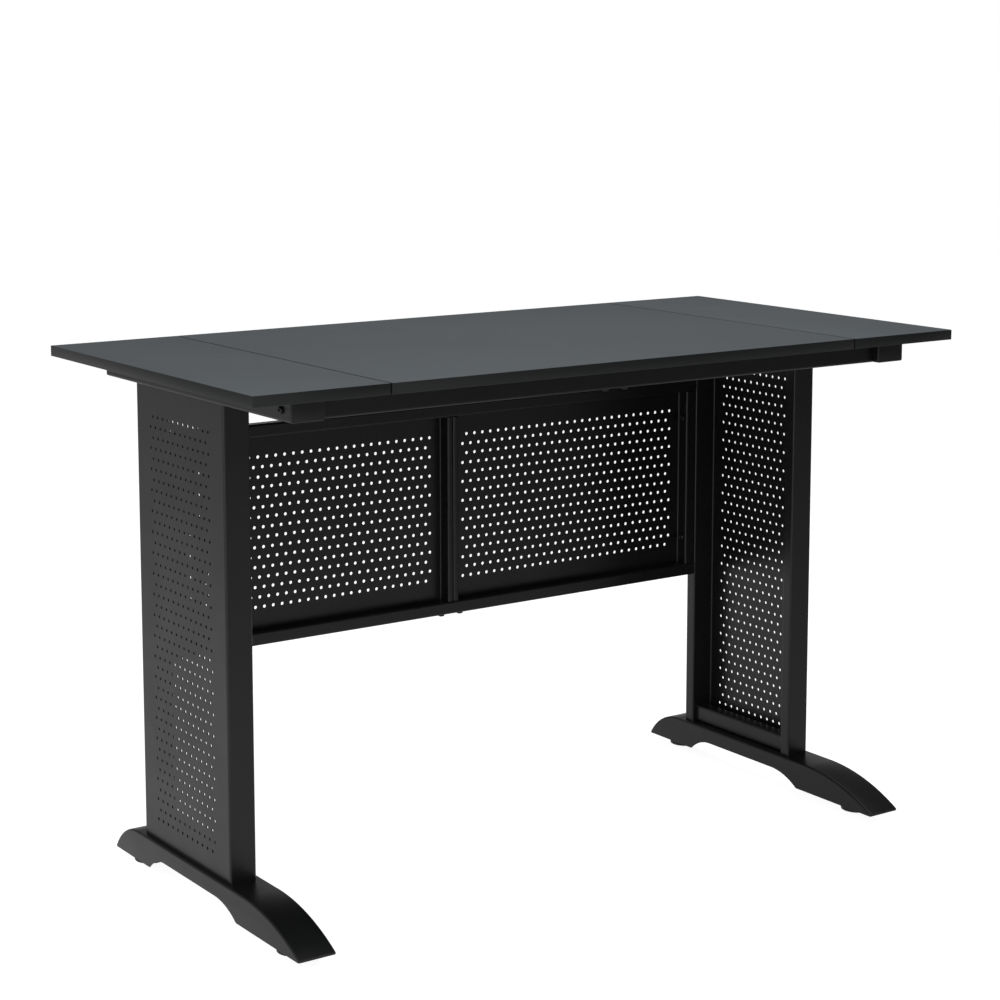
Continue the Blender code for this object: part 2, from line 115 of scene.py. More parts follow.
def softTurn(tree, place, towards, turn, levels):
    # goes from the first level to the second as a place or direction lies further towards the given way
    along = treeNode(tree, "ShaderNodeVectorMath", {0: place, 1: Vector(towards).normalized()},
                     operation="DOT_PRODUCT")
    return spreadNode(tree, along.outputs["Value"], turn, levels, "SMOOTHSTEP")


def noiseNode(tree, vector, scale, detail, rough=0.5, distortion=0):
    return treeNode(tree, "ShaderNodeTexNoise", {
        "Vector": vector, "Scale": scale, "Detail": detail, "Roughness": rough, "Distortion": distortion,
    }).outputs["Fac"]


def objectPlace(tree):
    return treeNode(tree, "ShaderNodeTexCoord").outputs["Object"]


def newMaterial(name):
    material = bpy.data.materials.new(name)
    material.use_nodes = True
    return material, material.node_tree, material.node_tree.nodes["Principled BSDF"]


# camera, floor and light

cameraView = {
    "place": (-1.92465, -2.74154, 1.16821),
    "turn": 34.7232,     # degrees from straight ahead towards the right
    "tilt": -7.8328,     # degrees, looking down
    "lens": 82.4367,
    "sensor": 36,
    "shiftY": -0.13,     # part of the photograph's lens shift
}

studio = {
    "lightFrom": (-0.72, 0.42, 0.55),     # the bright side of the room, behind the desk on its left
    "room": (0.01, 0.28),
    "roomTurn": (-0.35, 0.90),            # where the room goes from dim to bright
    "backdropFrom": (0.50, 0.82, -0.25),  # the white backdrop in the desk's gloss, low behind the desk
    "backdrop": (0.05, 0.45),
    "backdropTurn": (0.74, 0.90),
    "floorSize": 60,
    "floorGap": 0.0002,
    "floorTone": 0.52,
    "floorRough": 0.9,
    "floorGlow": 0.92,                    # lifts the floor to white, its shadows stay
    "floorFrom": (-0.75, 0.66, 0),
    "floorSheen": (0.02, 0.43),           # painted light on the floor that only the desk's gloss sees, dim front right and bright rear left
    "floorTurn": (-1.6, 0.9),             # metres along that way
    "floorFade": (1, 0.62),               # and less of it far away
    "floorFadeTurn": (0.8, 5.5),
}

softboxes = {
    "overhead": {"place": (0.75, 0.05, 2.7), "aim": (0.70, 0.05, 0), "size": (3.6, 2.2), "power": 27},
    "leftSide": {"place": (-2.7, -0.3, 1.3), "aim": (0, 0, 0.4), "size": (1.8, 1.6), "power": 9},
    "leftFront": {"place": (-2.3, -1.7, 1.3), "aim": (0, 0, 0.4), "size": (1.8, 1.6), "power": 18},
    "frontFill": {"place": (-0.7, -2.6, 2.5), "aim": (0, 0, 0.3), "size": (1.6, 1.2), "power": 32},
    "frontLow": {"place": (-0.3, -3.2, 0.5), "aim": (0, 0, 0.4), "size": (2.2, 0.8), "power": 2.6},
    "rightLow": {"place": (2.9, 0.5, 0.5), "aim": (0, 0, 0.4), "size": (2.4, 0.8), "power": 5},
}


def setUpCamera():
    lens = bpy.data.cameras.new("photoCamera")
    lens.lens = cameraView["lens"]
    lens.sensor_width = cameraView["sensor"]
    lens.shift_y = cameraView["shiftY"]
    camera = bpy.data.objects.new("photoCamera", lens)
    camera.location = cameraView["place"]
    tilt, turn = math.radians(cameraView["tilt"]), math.radians(cameraView["turn"])
    camera.rotation_euler = (quarterTurn + tilt, 0, -turn)
    bpy.context.scene.collection.objects.link(camera)
    bpy.context.scene.camera = camera


def seenShare(tree, cameraShare, glossShare):
    # cameraShare for camera rays, glossShare for glossy and transmission rays, else nothing
    rays = treeNode(tree, "ShaderNodeLightPath").outputs
    gloss = treeMath(tree, "MAXIMUM", rays["Is Glossy Ray"], rays["Is Transmission Ray"])
    gloss = treeMath(tree, "MULTIPLY", gloss, glossShare)
    return treeMath(tree, "MULTIPLY_ADD", rays["Is Camera Ray"], cameraShare, gloss)


def setUpWorld():
    world = bpy.data.worlds.new("studioRoom")
    bpy.context.scene.world = world
    world.use_nodes = True
    tree = world.node_tree
    sky = tree.nodes["Background"]
    sky.inputs["Color"].default_value = (1, 1, 1, 1)
    direction = treeNode(tree, "ShaderNodeTexCoord").outputs["Generated"]
    room = softTurn(tree, direction, studio["lightFrom"], studio["roomTurn"], studio["room"])
    backdrop = softTurn(tree, direction, studio["backdropFrom"], studio["backdropTurn"], studio["backdrop"])
    tree.links.new(treeMath(tree, "MAXIMUM", seenShare(tree, 1, backdrop), room), sky.inputs["Strength"])


def layFloor():
    half = studio["floorSize"] / 2
    reach = max(joint["range_m"][1] for joint in frame["joints"])
    level = cadBox[0].z - reach - studio["floorGap"]  # low enough for the glides wound right out
    mesh = bpy.data.meshes.new("paleFloor")
    corners = [(-half, -half, level), (half, -half, level), (half, half, level), (-half, half, level)]
    mesh.from_pydata(corners, [], [(0, 1, 2, 3)])
    floor = bpy.data.objects.new("paleFloor", mesh)
    bpy.context.scene.collection.objects.link(floor)
    paper, tree, shader = newMaterial("pale floor")
    tone = studio["floorTone"]
    shader.inputs["Base Color"].default_value = (tone, tone, tone, 1)
    shader.inputs["Roughness"].default_value = studio["floorRough"]
    shader.inputs["Specular IOR Level"].default_value = 0
    shader.inputs["Emission Color"].default_value = (1, 1, 1, 1)
    place = objectPlace(tree)
    # a painted pool of light: glow that only glossy rays see, stronger to the rear left and fading far away
    sheen = softTurn(tree, place, studio["floorFrom"], studio["floorTurn"], studio["floorSheen"])
    fade = softTurn(tree, place, studio["floorFrom"], studio["floorFadeTurn"], studio["floorFade"])
    glow = seenShare(tree, studio["floorGlow"], treeMath(tree, "MULTIPLY", sheen, fade))
    tree.links.new(glow, shader.inputs["Emission Strength"])
    paper.cycles.emission_sampling = "NONE"
    mesh.materials.append(paper)


def hangSoftbox(name, box):
    lamp = bpy.data.lights.new(name, "AREA")
    lamp.shape = "RECTANGLE"
    lamp.size, lamp.size_y = box["size"]
    lamp.energy = box["power"]
    softbox = bpy.data.objects.new(name, lamp)
    softbox.location = box["place"]
    aim = Vector(box["aim"]) - Vector(box["place"])
    softbox.rotation_euler = aim.to_track_quat("-Z", "Y").to_euler()
    softbox.visible_camera = False
    bpy.context.scene.collection.objects.link(softbox)


bpy.context.scene.view_settings.view_transform = "Standard"
setUpCamera()
setUpWorld()
layFloor()
for boxName, boxSettings in softboxes.items():
    hangSoftbox(boxName, boxSettings)
print("camera, floor and", len(softboxes), "softboxes set")


# finishes

def shaderGroup(name, inputs, outputs):
    group = bpy.data.node_groups.new(name, "ShaderNodeTree")
    for label, value in inputs.items():
        socket = group.interface.new_socket(label, in_out="INPUT", socket_type="NodeSocketFloat")
        socket.default_value = value
    for label in outputs:
        group.interface.new_socket(label, in_out="OUTPUT", socket_type="NodeSocketFloat")
    return group, group.nodes.new("NodeGroupInput").outputs, group.nodes.new("NodeGroupOutput").inputs


def makeCoatSkin():
    # fine grain of a baked powder coat over a slow orange peel, and its uneven tone
    inputs = {"Grain Scale": 1500, "Peel Scale": 240, "Peel Share": 0.8, "Tone Scale": 14}
    group, given, out = shaderGroup("coatSkin", inputs, ("Height", "Tone"))
    place = objectPlace(group)
    grain = noiseNode(group, place, given["Grain Scale"], detail=2, rough=0.6)
    peel = noiseNode(group, place, given["Peel Scale"], detail=1)
    group.links.new(treeMath(group, "MULTIPLY_ADD", peel, given["Peel Share"], grain), out["Height"])
    tone = noiseNode(group, place, given["Tone Scale"], detail=5, rough=0.6)
    group.links.new(spreadNode(group, tone, fromRange=(0.3, 0.7), toRange=(0, 1)), out["Tone"])
    return group


def makeWearAndHighlightEdge():
    # wear along edges, with a painted highlight on them: where the rounded normal leaves the face's own, in
    # patches
    group, given, out = shaderGroup("rubbedEdge", {"Reach": 0.0012, "Patch Scale": 30}, ("Rub",))
    rounded = treeNode(group, "ShaderNodeBevel", {"Radius": given["Reach"]}, samples=4)
    face = treeNode(group, "ShaderNodeNewGeometry")
    normals = {0: rounded.outputs["Normal"], 1: face.outputs["Normal"]}
    meet = treeNode(group, "ShaderNodeVectorMath", normals, operation="DOT_PRODUCT")
    edge = spreadNode(group, meet.outputs["Value"], fromRange=(0.97, 0.75), toRange=(0, 1))
    patch = noiseNode(group, objectPlace(group), given["Patch Scale"], detail=3, rough=0.6)
    patch = spreadNode(group, patch, fromRange=(0.35, 0.65), toRange=(0.3, 1))
    group.links.new(treeMath(group, "MULTIPLY", edge, patch), out["Rub"])
    return group


def makeHandMarks():
    # soft cloudy marks left by hands and a dusting cloth
    group, given, out = shaderGroup("handMarks", {"Mark Scale": 6, "Smear": 1.2}, ("Marks",))
    cloud = noiseNode(group, objectPlace(group), given["Mark Scale"], detail=4, distortion=given["Smear"])
    group.links.new(spreadNode(group, cloud, fromRange=(0.35, 0.68), toRange=(0, 1)), out["Marks"])
    return group


def makeBoardSkin():
    # pressed laminate: a fine stipple and a faint long figure along the board
    inputs = {"Stipple Scale": 1100, "Figure Scale": 90, "Figure Stretch": 0.06, "Figure Share": 0.35}
    group, given, out = shaderGroup("boardSkin", inputs, ("Height", "Figure"))
    place = objectPlace(group)
    stipple = noiseNode(group, place, given["Stipple Scale"], detail=2, rough=0.7)
    stretch = treeNode(group, "ShaderNodeCombineXYZ", {"X": given["Figure Stretch"], "Y": 1, "Z": 1})
    along = treeNode(group, "ShaderNodeVectorMath", {0: place, 1: stretch.outputs["Vector"]},
                     operation="MULTIPLY")
    figure = noiseNode(group, along.outputs["Vector"], given["Figure Scale"], detail=5, rough=0.65)
    group.links.new(spreadNode(group, figure, fromRange=(0.3, 0.7), toRange=(0, 1)), out["Figure"])
    group.links.new(treeMath(group, "MULTIPLY_ADD", figure, given["Figure Share"], stipple), out["Height"])
    return group


coatSkin = makeCoatSkin()
rubbedEdge = makeWearAndHighlightEdge()
handMarks = makeHandMarks()
boardSkin = makeBoardSkin()

laminateFinish = {
    "dark": (0.085, 0.0985, 0.1085), "light": (0.093, 0.1065, 0.1165),
    "bandAndShade": (0.012, 0.0128, 0.0128), "bandRough": 0.36,   # plastic edge band, glossier; its dark colour is painted shade on the upright faces
    "bandTurn": (0.25, 0.6),                              # from upright to lying surfaces
    "seamAt": 0.400, "seamReach": 0.0015, "seamShade": (0.004, 0.004, 0.004),  # painted shade along the gap where two banded boards meet
    "rubbedAndHighlight": (0.11, 0.115, 0.118), "rubAndHighlightReach": 0.0010, "rubAndHighlightPatch": 22, "rubAndHighlightShow": 0.4, "rubSheen": -0.06,
    "rough": (0.70, 0.74), "markScale": 5, "bump": 0.16, "bumpDepth": 0.00035,
    "metal": 0, "specular": 0.40,
    "stippleScale": 1100, "figureScale": 90,
}
coatFinish = {
    "dark": (0.0036, 0.0038, 0.0038), "light": (0.0052, 0.0055, 0.0055),
    "rubbedAndHighlight": (0.050, 0.051, 0.052), "rubAndHighlightReach": 0.0014, "rubAndHighlightPatch": 28, "rubAndHighlightShow": 0.55, "rubSheen": -0.06,
    "rough": (0.28, 0.36), "markScale": 7, "bump": 0.16, "bumpDepth": 0.00020,
    "metal": 0, "specular": 0.5,
    "grainScale": 1500, "peelScale": 240, "toneScale": 14,
}
boltFinish = {
    "dark": (0.016, 0.016, 0.017), "light": (0.030, 0.030, 0.031),
    "rubbedAndHighlight": (0.16, 0.16, 0.165), "rubAndHighlightReach": 0.0005, "rubAndHighlightPatch": 260, "rubAndHighlightShow": 0.7, "rubSheen": -0.05,
    "rough": (0.30, 0.42), "markScale": 60, "bump": 0.12, "bumpDepth": 0.00008,
    "metal": 0.65, "specular": 0.5,
    "grainScale": 2600, "peelScale": 600, "toneScale": 190,
}
plasticFinish = {
    "dark": (0.0070, 0.0071, 0.0072), "light": (0.0100, 0.0101, 0.0102),
    "rubbedAndHighlight": (0.045, 0.045, 0.047), "rubAndHighlightReach": 0.0008, "rubAndHighlightPatch": 90, "rubAndHighlightShow": 0.5, "rubSheen": -0.05,
    "rough": (0.46, 0.58), "markScale": 18, "bump": 0.18, "bumpDepth": 0.00012,
    "metal": 0, "specular": 0.5,
    "grainScale": 2200, "peelScale": 420, "toneScale": 40,
}


def placeGroup(tree, group, values):
    return treeNode(tree, "ShaderNodeGroup", values, node_tree=group).outputs


def blendTone(tree, factor, first, second):
    node = treeNode(tree, "ShaderNodeMix", data_type="RGBA")
    sockets = {socket.identifier: socket for socket in (*node.inputs, *node.outputs)}
    for name, value in (("Factor_Float", factor), ("A_Color", first), ("B_Color", second)):
        if isinstance(value, tuple):
            sockets[name].default_value = (*value, 1)
        else:
            tree.links.new(value, sockets[name])
    return sockets["Result_Color"]


def splitVector(tree, vector):
    return treeNode(tree, "ShaderNodeSeparateXYZ", {0: vector}).outputs


def fillMaterial(tree, shader, finish, height, tone):
    # colour, roughness and bump of one finish, from its skin, the shared wear groups and a painted edge
    # highlight
    edge = {"Reach": finish["rubAndHighlightReach"], "Patch Scale": finish["rubAndHighlightPatch"]}
    wearAndHighlight = placeGroup(tree, rubbedEdge, edge)["Rub"]
    marks = placeGroup(tree, handMarks, {"Mark Scale": finish["markScale"]})["Marks"]
    clean = blendTone(tree, tone, finish["dark"], finish["light"])
    # edges take a lighter colour: partly wear, partly a painted highlight
    wornAndHighlit = treeMath(tree, "MULTIPLY", wearAndHighlight, finish["rubAndHighlightShow"])
    tree.links.new(blendTone(tree, wornAndHighlit, clean, finish["rubbedAndHighlight"]), shader.inputs["Base Color"])
    low, high = finish["rough"]
    rough = treeMath(tree, "MULTIPLY_ADD", marks, low - high, high)
    rough = treeMath(tree, "MULTIPLY_ADD", wearAndHighlight, finish["rubSheen"], rough)
    tree.links.new(rough, shader.inputs["Roughness"])
    relief = {"Strength": finish["bump"], "Distance": finish["bumpDepth"], "Height": height}
    bump = treeNode(tree, "ShaderNodeBump", relief)
    tree.links.new(bump.outputs["Normal"], shader.inputs["Normal"])
    shader.inputs["Metallic"].default_value = finish["metal"]
    shader.inputs["Specular IOR Level"].default_value = finish["specular"]


def bandEdgesAndShade(tree, shader, finish):
    # the glued edge band is glossier than the faces, and its darker colour is painted shade: it shows where
    # the board stands upright
    surface = treeNode(tree, "ShaderNodeNewGeometry").outputs["Normal"]
    lying = treeMath(tree, "ABSOLUTE", splitVector(tree, surface)["Z"])
    bandAndShade = spreadNode(tree, lying, finish["bandTurn"], toRange=(1, 0))
    face = shader.inputs["Base Color"].links[0].from_socket
    edged = blendTone(tree, bandAndShade, face, finish["bandAndShade"])
    matt = shader.inputs["Roughness"].links[0].from_socket
    gloss = treeMath(tree, "SUBTRACT", finish["bandRough"], matt)
    tree.links.new(treeMath(tree, "MULTIPLY_ADD", bandAndShade, gloss, matt), shader.inputs["Roughness"])
    # painted shade in the gap where two boards meet: a narrow strip coloured near black
    across = treeMath(tree, "ABSOLUTE", splitVector(tree, objectPlace(tree))["X"])
    seamShade = treeMath(tree, "COMPARE", across, finish["seamAt"], finish["seamReach"])
    tree.links.new(blendTone(tree, seamShade, edged, finish["seamShade"]), shader.inputs["Base Color"])


def coatedMaterial(name, finish):
    material, tree, shader = newMaterial(name)
    skin = placeGroup(tree, coatSkin, {
        "Grain Scale": finish["grainScale"], "Peel Scale": finish["peelScale"],
        "Tone Scale": finish["toneScale"],
    })
    fillMaterial(tree, shader, finish, skin["Height"], skin["Tone"])
    return material


def laminateMaterial(name, finish):
    material, tree, shader = newMaterial(name)
    skin = placeGroup(tree, boardSkin, {
        "Stipple Scale": finish["stippleScale"], "Figure Scale": finish["figureScale"],
    })
    fillMaterial(tree, shader, finish, skin["Height"], skin["Figure"])
    bandEdgesAndShade(tree, shader, finish)
    return material


charcoalLaminate = laminateMaterial("charcoal laminate", laminateFinish)
blackCoat = coatedMaterial("black powder coat", coatFinish)
blackenedSteel = coatedMaterial("blackened steel", boltFinish)
mouldedPlastic = coatedMaterial("moulded black plastic", plasticFinish)
finishOfSlot = {
    "laminate_top": charcoalLaminate,
    "powder_coat": blackCoat,
    "black_bolt": blackenedSteel,
    "black_plastic": mouldedPlastic,
}
for part in frame["record"]["subparts"]:
    node = frame["nodes"][part["node"]]
    node.data.materials.clear()
    node.data.materials.append(finishOfSlot[part["material_slot"]])
print("finishes ready:", len(finishOfSlot))


# making and placing pieces

def addPiece(name, mesh, slot, body, *stoodFor):
    piece = bpy.data.objects.new(name, mesh)
    bpy.context.scene.collection.objects.link(piece)
    if not mesh.materials:
        mesh.materials.append(finishOfSlot[slot])
    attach(piece, body)
    if stoodFor:
        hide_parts(*stoodFor)


def finishMesh(name, bm):
    bmesh.ops.recalc_face_normals(bm, faces=bm.faces)
    mesh = bpy.data.meshes.new(name)
    bm.to_mesh(mesh)
    bm.free()
    mesh.shade_smooth()
    mesh.set_sharp_from_angle(angle=smoothAngle)
    return mesh


def skinLoops(bm, loops, closed=False):
    # walls from loop to loop; the two ends are capped, or joined if closed
    rings = [[bm.verts.new(point) for point in loop] for loop in loops]
    pairs = list(zip(rings, rings[1:]))
    if closed:
        pairs.append((rings[-1], rings[0]))
    for lower, upper in pairs:
        for index in range(len(lower)):
            after = (index + 1) % len(lower)
            bm.faces.new((lower[index], lower[after], upper[after], upper[index]))
    if not closed:
        bm.faces.new(rings[0])
        bm.faces.new(rings[-1])


def circleLoop(radius, level, count):
    angles = [math.tau * step / count for step in range(count)]
    return [(radius * math.cos(angle), radius * math.sin(angle), level) for angle in angles]


def hexLoop(acrossFlats, level, count):
    # as many points as a circle, so that the two can be skinned together
    sector = math.radians(60)
    points = []
    for step in range(count):
        angle = math.tau * step / count
        fromFlat = (angle + sector / 2) % sector - sector / 2
        reach = acrossFlats / 2 / math.cos(fromFlat)
        points.append((reach * math.cos(angle), reach * math.sin(angle), level))
    return points


def quarterArc(steps):
    # the cosine and sine of each step through a quarter turn
    angles = [quarterTurn * step / steps for step in range(steps + 1)]
    return [(math.cos(angle), math.sin(angle)) for angle in angles]


def newTree(name, inputs):
    # a Geometry Nodes tree, its inputs' identifiers by name, and the sockets that hand them in
    tree = bpy.data.node_groups.new(name, "GeometryNodeTree")
    tree.interface.new_socket("Geometry", in_out="INPUT", socket_type="NodeSocketGeometry")
    identifiers = {}
    for label, kind in inputs.items():
        socket = tree.interface.new_socket(label, in_out="INPUT", socket_type="NodeSocket" + kind)
        identifiers[label] = socket.identifier
    tree.interface.new_socket("Geometry", in_out="OUTPUT", socket_type="NodeSocketGeometry")
    return tree, identifiers, tree.nodes.new("NodeGroupInput").outputs


def joinGeometry(tree, *geometries):
    joined = treeNode(tree, "GeometryNodeJoinGeometry")
    for geometry in geometries:
        tree.links.new(geometry, joined.inputs[0])
    return joined.outputs["Geometry"]


def closeTree(tree, geometry, finish):
    whole = treeNode(tree, "GeometryNodeRealizeInstances", {"Geometry": geometry})
    painted = treeNode(tree, "GeometryNodeSetMaterial",
                       {"Geometry": whole.outputs["Geometry"], "Material": finish})
    treeNode(tree, "NodeGroupOutput", {"Geometry": painted.outputs["Geometry"]})


def runTree(name, maker, values, base=None):
    # evaluates a tree on a base mesh and hands back a plain mesh
    tree, identifiers = maker
    carrier = bpy.data.objects.new(name + "Carrier", base or bpy.data.meshes.new(name + "Base"))
    bpy.context.scene.collection.objects.link(carrier)
    modifier = carrier.modifiers.new(tree.name, "NODES")
    modifier.node_group = tree
    for label, value in values.items():
        modifier[identifiers[label]] = value
    bpy.context.view_layer.update()
    graph = bpy.context.evaluated_depsgraph_get()
    evaluated = carrier.evaluated_get(graph)
    mesh = bpy.data.meshes.new_from_object(evaluated, preserve_all_data_layers=True, depsgraph=graph)
    mesh.name = name
    carrier.modifiers.remove(modifier)
    bpy.data.objects.remove(carrier, do_unlink=True)
    return mesh


# perforated sheets of the legs and the modesty panel

sheetHoles = {"pitch": 0.015, "diameter": 0.0049, "sides": 16, "shift": 0.00375, "weld": 0.00001}
legSheet = {
    "columns": 12, "rows": 40, "lowestRow": 0.0834,
    "spread": 0.0170, "proud": 0.00045,   # painted over the posts' sides, so no joint shows outside
}
modestySheet = {"columns": 28, "rows": 16, "lowestRow": 0.3588, "spread": 0, "proud": 0}


def perforatedTree():
    tree, identifiers, given = newTree("perforated sheet", {
        "Width": "Float", "Height": "Float", "Thickness": "Float", "Columns": "Int", "Rows": "Int",
        "Pitch": "Float", "Shift": "Float", "Rise": "Float", "Hole Radius": "Float", "Hole Sides": "Int",
        "Finish": "Material",
    })
    spanX = treeMath(tree, "MULTIPLY", treeMath(tree, "SUBTRACT", given["Columns"], 1), given["Pitch"])
    spanY = treeMath(tree, "MULTIPLY", treeMath(tree, "SUBTRACT", given["Rows"], 1), given["Pitch"])
    grid = treeNode(tree, "GeometryNodeMeshGrid", {
        "Size X": spanX, "Size Y": spanY, "Vertices X": given["Columns"], "Vertices Y": given["Rows"],
    })
    # every other row steps the other way
    index = treeNode(tree, "GeometryNodeInputIndex").outputs["Index"]
    odd = treeMath(tree, "MODULO", treeMath(tree, "MODULO", index, given["Rows"]), 2)
    swing = treeMath(tree, "MULTIPLY", given["Shift"], -2)
    step = treeMath(tree, "MULTIPLY_ADD", odd, swing, given["Shift"])
    offset = treeNode(tree, "ShaderNodeCombineXYZ", {"X": step, "Y": given["Rise"]})
    moved = treeNode(tree, "GeometryNodeSetPosition",
                     {"Geometry": grid.outputs["Mesh"], "Offset": offset.outputs["Vector"]})
    ring = treeNode(tree, "GeometryNodeCurvePrimitiveCircle",
                    {"Resolution": given["Hole Sides"], "Radius": given["Hole Radius"]})
    punched = treeNode(tree, "GeometryNodeInstanceOnPoints",
                       {"Points": moved.outputs["Geometry"], "Instance": ring.outputs["Curve"]})
    holes = treeNode(tree, "GeometryNodeRealizeInstances", {"Geometry": punched.outputs["Instances"]})
    edge = treeNode(tree, "GeometryNodeCurvePrimitiveQuadrilateral",
                    {"Width": given["Width"], "Height": given["Height"]})
    outline = joinGeometry(tree, edge.outputs["Curve"], holes.outputs["Geometry"])
    face = treeNode(tree, "GeometryNodeFillCurve", {"Curve": outline}, mode="TRIANGLES").outputs["Mesh"]
    thick = treeNode(tree, "GeometryNodeExtrudeMesh",
                     {"Mesh": face, "Offset Scale": given["Thickness"], "Individual": False}, mode="FACES")
    back = treeNode(tree, "GeometryNodeFlipFaces", {"Mesh": face})
    both = joinGeometry(tree, thick.outputs["Mesh"], back.outputs["Mesh"])
    whole = treeNode(tree, "GeometryNodeMergeByDistance", {"Geometry": both, "Distance": sheetHoles["weld"]})
    closeTree(tree, whole.outputs["Geometry"], given["Finish"])
    return tree, identifiers


def punchedSheet(size, rise, layout, across, normal, shift):
    # a sheet about its own middle; across is its level way, and its thickness runs along normal
    mesh = runTree("punchedSheet", sheetMaker, {
        "Width": abs(size.dot(across)) + 2 * layout["spread"], "Height": size.z,
        "Thickness": abs(size.dot(normal)) + layout["proud"],
        "Columns": layout["columns"], "Rows": layout["rows"],
        "Pitch": sheetHoles["pitch"], "Shift": shift, "Rise": rise,
        "Hole Radius": sheetHoles["diameter"] / 2, "Hole Sides": sheetHoles["sides"], "Finish": blackCoat,
    })
    levels = [vertex.co.z for vertex in mesh.vertices]
    centring = Matrix.Translation((0, 0, -(min(levels) + max(levels)) / 2))
    bm = bmesh.new()
    bm.from_mesh(mesh)
    bmesh.ops.recalc_face_normals(bm, faces=bm.faces)
    bm.to_mesh(mesh)
    bm.free()
    turn = Matrix((across, Vector((0, 0, 1)), normal)).transposed().to_4x4()
    mesh.transform(turn @ centring)
    mesh.shade_flat()
    return mesh


def perforatedPair(pieces, layout, across, normal, shift):
    # pieces: piece name to CAD node, both of one size
    gridMiddle = layout["lowestRow"] + (layout["rows"] - 1) * sheetHoles["pitch"] / 2
    punched = None
    for name, node in pieces.items():
        low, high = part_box(node)
        middle = (low + high) / 2
        if punched is None:
            punched = punchedSheet(high - low, gridMiddle - middle.z, layout, across, normal, shift)
        mesh = punched.copy()
        mesh.name = name
        outwards = math.copysign(layout["proud"] / 2, middle.dot(normal)) * normal
        mesh.transform(Matrix.Translation(middle + outwards))
        addPiece(name, mesh, "powder_coat", "desk", node)
    bpy.data.meshes.remove(punched)


sheetMaker = perforatedTree()
perforatedPair({side + "LegSheet": side + "_leg_panel" for side in sides}, legSheet,
               Vector((0, 1, 0)), Vector((1, 0, 0)), sheetHoles["shift"])
perforatedPair({side + "ModestySheet": "modesty_" + side + "_panel" for side in sides}, modestySheet,
               Vector((1, 0, 0)), Vector((0, -1, 0)), -sheetHoles["shift"])
print("perforated sheets made")


# bends that round the upright inside corners between sheets and tubes

sheetBend = {"radius": 0.0022, "steps": 6, "bed": 0.0004, "legEndGap": 0.001}


def bendProfile():
    # closed outline: how far from the tube, how far from the sheet
    radius, bed = sheetBend["radius"], sheetBend["bed"]
    outline = [(-bed, radius), (-bed, -bed), (radius, -bed)]
    for across, along in reversed(quarterArc(sheetBend["steps"])):
        outline.append((radius - radius * across, radius - radius * along))
    return outline


def uprightBends(name, runs, bottom, top):
    # runs: the corner of each run, and its ways from the tube and from the sheet
    bm = bmesh.new()
    for corner, fromTube, fromSheet in runs:
        outline = [corner + fromTube * away + fromSheet * rise for away, rise in bendProfile()]
        skinLoops(bm, [[(x, y, level) for x, y in outline] for level in (bottom, top)])
    addPiece(name, finishMesh(name, bm), "powder_coat", "desk")


def modestyBends(side):
    sheetLow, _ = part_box("modesty_" + side + "_panel")
    _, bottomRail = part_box("modesty_" + side + "_bottom_rail")
    topRail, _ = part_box("modesty_" + side + "_top_rail")
    stiles = [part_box("modesty_" + side + "_" + stile + "_stile") for stile in ("end", "centre")]
    stiles.sort(key=lambda box: box[0].x)
    runs = []
    for face, way in ((stiles[0][1].x, 1), (stiles[1][0].x, -1)):
        runs.append((Vector((face, sheetLow.y)), Vector((way, 0)), Vector((0, -1))))
    uprightBends(side + "ModestyBends", runs, bottomRail.z, topRail.z)


def legBends(side):
    low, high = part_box(side + "_leg_panel")
    inner = min(low.x, high.x, key=abs)
    runs = []
    for end, way in ends.items():
        postLow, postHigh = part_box(side + "_" + end + "_post")
        face = postHigh.y if end == "front" else postLow.y
        runs.append((Vector((inner, face)), Vector((0, -way)), Vector((-sides[side], 0))))
    gap = sheetBend["legEndGap"]
    uprightBends(side + "LegBends", runs, low.z + gap, high.z - gap)


for side in sides:
    modestyBends(side)
    legBends(side)
print("sheet bends rounded")


# socket bolts

buttonBolt = {
    "headWidth": 0.0105, "headHeight": 0.0033, "underRound": 0.0002, "rim": 0.0009, "flat": 0.0056,
    "crownSteps": 6, "sides": 36, "socket": 0.004, "socketDepth": 0.0018, "socketLip": 0.00025,
    "drillWidth": 0.00096, "drillDepth": 0.0006,   # the drill's point at the bottom of the socket
    "shank": 0.006, "shankSides": 20, "spinSeed": 4,
}


def buttonHead():
    rim = buttonBolt["headWidth"] / 2
    flat = buttonBolt["flat"] / 2
    height = buttonBolt["headHeight"]
    count = buttonBolt["sides"]
    under = buttonBolt["underRound"]
    loops = [circleLoop(rim - under, 0, count), circleLoop(rim, under, count)]
    for across, along in quarterArc(buttonBolt["crownSteps"]):
        level = buttonBolt["rim"] + (height - buttonBolt["rim"]) * along
        loops.append(circleLoop(flat + (rim - flat) * across, level, count))
    socket, lip = buttonBolt["socket"], buttonBolt["socketLip"]
    floor = height - buttonBolt["socketDepth"]
    loops.append(hexLoop(socket + 2 * lip, height, count))
    loops.append(hexLoop(socket, height - lip, count))
    loops.append(hexLoop(socket, floor, count))
    loops.append(circleLoop(buttonBolt["drillWidth"] / 2, floor - buttonBolt["drillDepth"], count))
    bm = bmesh.new()
    skinLoops(bm, loops)
    return finishMesh("buttonHead", bm)


def boltShank():
    # one unit long, so that each bolt can stretch it to its own length
    bm = bmesh.new()
    radius = buttonBolt["shank"] / 2
    skinLoops(bm, [circleLoop(radius, level, buttonBolt["shankSides"]) for level in (-1, 0)])
    return finishMesh("boltShank", bm)


